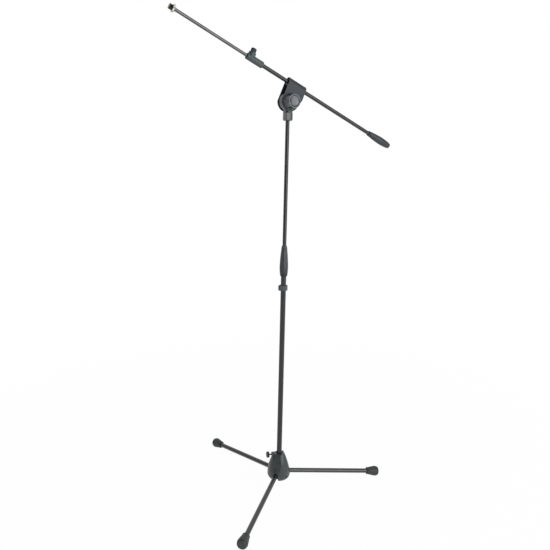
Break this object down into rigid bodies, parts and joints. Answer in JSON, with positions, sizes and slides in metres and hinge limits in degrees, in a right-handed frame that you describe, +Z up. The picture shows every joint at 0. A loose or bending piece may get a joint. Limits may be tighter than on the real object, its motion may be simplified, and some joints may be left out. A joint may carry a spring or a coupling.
{
  "type": "boom microphone stand",
  "caption": "Floor-standing tripod microphone stand with folding legs, a clutch-locked telescopic mast and a tilting, telescopic boom ending in a microphone thread.",
  "frame": {"origin": "on the floor, at the middle of the stand's footprint box with the boom in its rest pose", "axes": "+Z up along the mast; the boom lies in the XZ plane with its microphone end towards -X; the clamp knob faces -Y"},
  "size_m": [0.8222, 0.6466, 1.5797],
  "materials": {
    "hub_paint": "anthracite powder coat on die-cast metal",
    "bracket_paint": "fine-textured anthracite powder coat on folded steel",
    "tube_black": "satin black tube coating",
    "knuckle_metal": "dark die-cast",
    "black_plastic": "moulded, matt",
    "grip_rubber": "soft-touch, matt",
    "foot_rubber": "moulded rubber",
    "pale_plastic": "natural nylon",
    "bright_steel": "zinc plated",
    "black_steel": "blackened thread",
    "brass": "turned"
  },
  "bodies": {
    "base": {"hub_casting": "hub_paint", "hub_sleeve": "black_plastic", "leg_pin_1": "bright_steel", "leg_pin_2": "bright_steel", "leg_pin_3": "bright_steel"},
    "leg_1": {"leg_tube_1": "tube_black", "leg_knuckle_1": "knuckle_metal", "leg_foot_1": "foot_rubber"},
    "leg_2": {"leg_tube_2": "tube_black", "leg_knuckle_2": "knuckle_metal", "leg_foot_2": "foot_rubber"},
    "leg_3": {"leg_tube_3": "tube_black", "leg_knuckle_3": "knuckle_metal", "leg_foot_3": "foot_rubber"},
    "hub_screw": {"hub_screw_knob": "black_plastic", "hub_screw_stud": "bright_steel"},
    "lower_mast": {"lower_tube": "tube_black", "lower_tube_plug": "black_plastic", "clutch_base": "black_plastic"},
    "cable_clip": {"cable_clip": "black_plastic"},
    "clutch_grip": {"clutch_grip": "grip_rubber", "clutch_cap": "black_plastic"},
    "collet": {"clutch_collet": "pale_plastic"},
    "upper_mast": {"upper_tube": "tube_black", "upper_tube_guide": "black_plastic", "top_spigot": "bright_steel", "head_body": "hub_paint", "friction_disc_front": "pale_plastic", "friction_disc_back": "pale_plastic"},
    "bracket": {"boom_bracket": "bracket_paint", "bracket_liner": "pale_plastic", "clamp_bolt": "bright_steel", "clamp_washer": "bright_steel"},
    "clamp_knob": {"clamp_knob": "black_plastic", "knob_insert": "brass"},
    "boom": {"boom_tube": "tube_black", "boom_grip": "grip_rubber", "boom_collar": "black_plastic"},
    "collar_screw": {"collar_screw_knob": "black_plastic", "collar_screw_stud": "bright_steel"},
    "rod": {"boom_rod": "tube_black", "rod_plug": "black_plastic", "tip_fitting": "black_steel", "thread_adapter": "black_steel"},
    "lock_nut": {"lock_nut": "bright_steel"}
  },
  "joints": [
    {"name": "leg_fold_1", "type": "hinge", "parent": "base", "child": "leg_1", "pos_m": [0.00436, -0.06108, 0.05008], "axis": [0.304, 0.9527, 0], "range_deg": [0, 83]},
    {"name": "leg_fold_2", "type": "hinge", "parent": "base", "child": "leg_2", "pos_m": [-0.02014, -0.03415, 0.05008], "axis": [-0.977, -0.213, 0], "range_deg": [0, 83]},
    {"name": "leg_fold_3", "type": "hinge", "parent": "base", "child": "leg_3", "pos_m": [-0.03121, -0.06883, 0.05008], "axis": [0.673, -0.7396, 0], "range_deg": [0, 83]},
    {"name": "hub_screw_turn", "type": "hinge", "parent": "base", "child": "hub_screw", "pos_m": [-0.0552, -0.04207, 0.1245], "axis": [-0.9527, 0.304, 0], "range_deg": [0, 270]},
    {"name": "mast_slide", "type": "slide", "parent": "base", "child": "lower_mast", "axis": [0, 0, 1], "range_m": [-0.3, 0]},
    {"name": "clip_slide", "type": "slide", "parent": "lower_mast", "child": "cable_clip", "axis": [0, 0, 1], "range_m": [-0.28, 0.025]},
    {"name": "clutch_turn", "type": "hinge", "parent": "lower_mast", "child": "clutch_grip", "pos_m": [-0.01566, -0.05468, 0.827], "axis": [0, 0, 1], "range_deg": [0, 180]},
    {"name": "boom_swivel", "type": "hinge", "parent": "lower_mast", "child": "collet", "pos_m": [-0.01566, -0.05468, 0.84], "axis": [0, 0, 1], "continuous": true},
    {"name": "height_slide", "type": "slide", "parent": "collet", "child": "upper_mast", "axis": [0, 0, 1], "range_m": [-0.39, 0.26]},
    {"name": "boom_tilt", "type": "hinge", "parent": "upper_mast", "child": "bracket", "pos_m": [-0.01566, -0.05468, 1.341], "axis": [0, 1, 0], "range_deg": [-110, 50]},
    {"name": "knob_turn", "type": "hinge", "parent": "bracket", "child": "clamp_knob", "pos_m": [-0.01566, -0.05468, 1.341], "axis": [0, -1, 0], "range_deg": [0, 270]},
    {"name": "boom_slide", "type": "slide", "parent": "bracket", "child": "boom", "axis": [-0.9155, 0, 0.4024], "range_m": [-0.09, 0.29]},
    {"name": "collar_screw_turn", "type": "hinge", "parent": "boom", "child": "collar_screw", "pos_m": [-0.142, -0.05468, 1.48174], "axis": [0.4024, 0, 0.9155], "range_deg": [0, 270]},
    {"name": "rod_slide", "type": "slide", "parent": "boom", "child": "rod", "axis": [-0.9155, 0, 0.4024], "range_m": [-0.24, 0.22]},
    {"name": "lock_nut_turn", "type": "hinge", "parent": "rod", "child": "lock_nut", "pos_m": [-0.39627, -0.05468, 1.5673], "axis": [-0.9155, 0, 0.4024], "range_deg": [0, 270]}
  ]
}
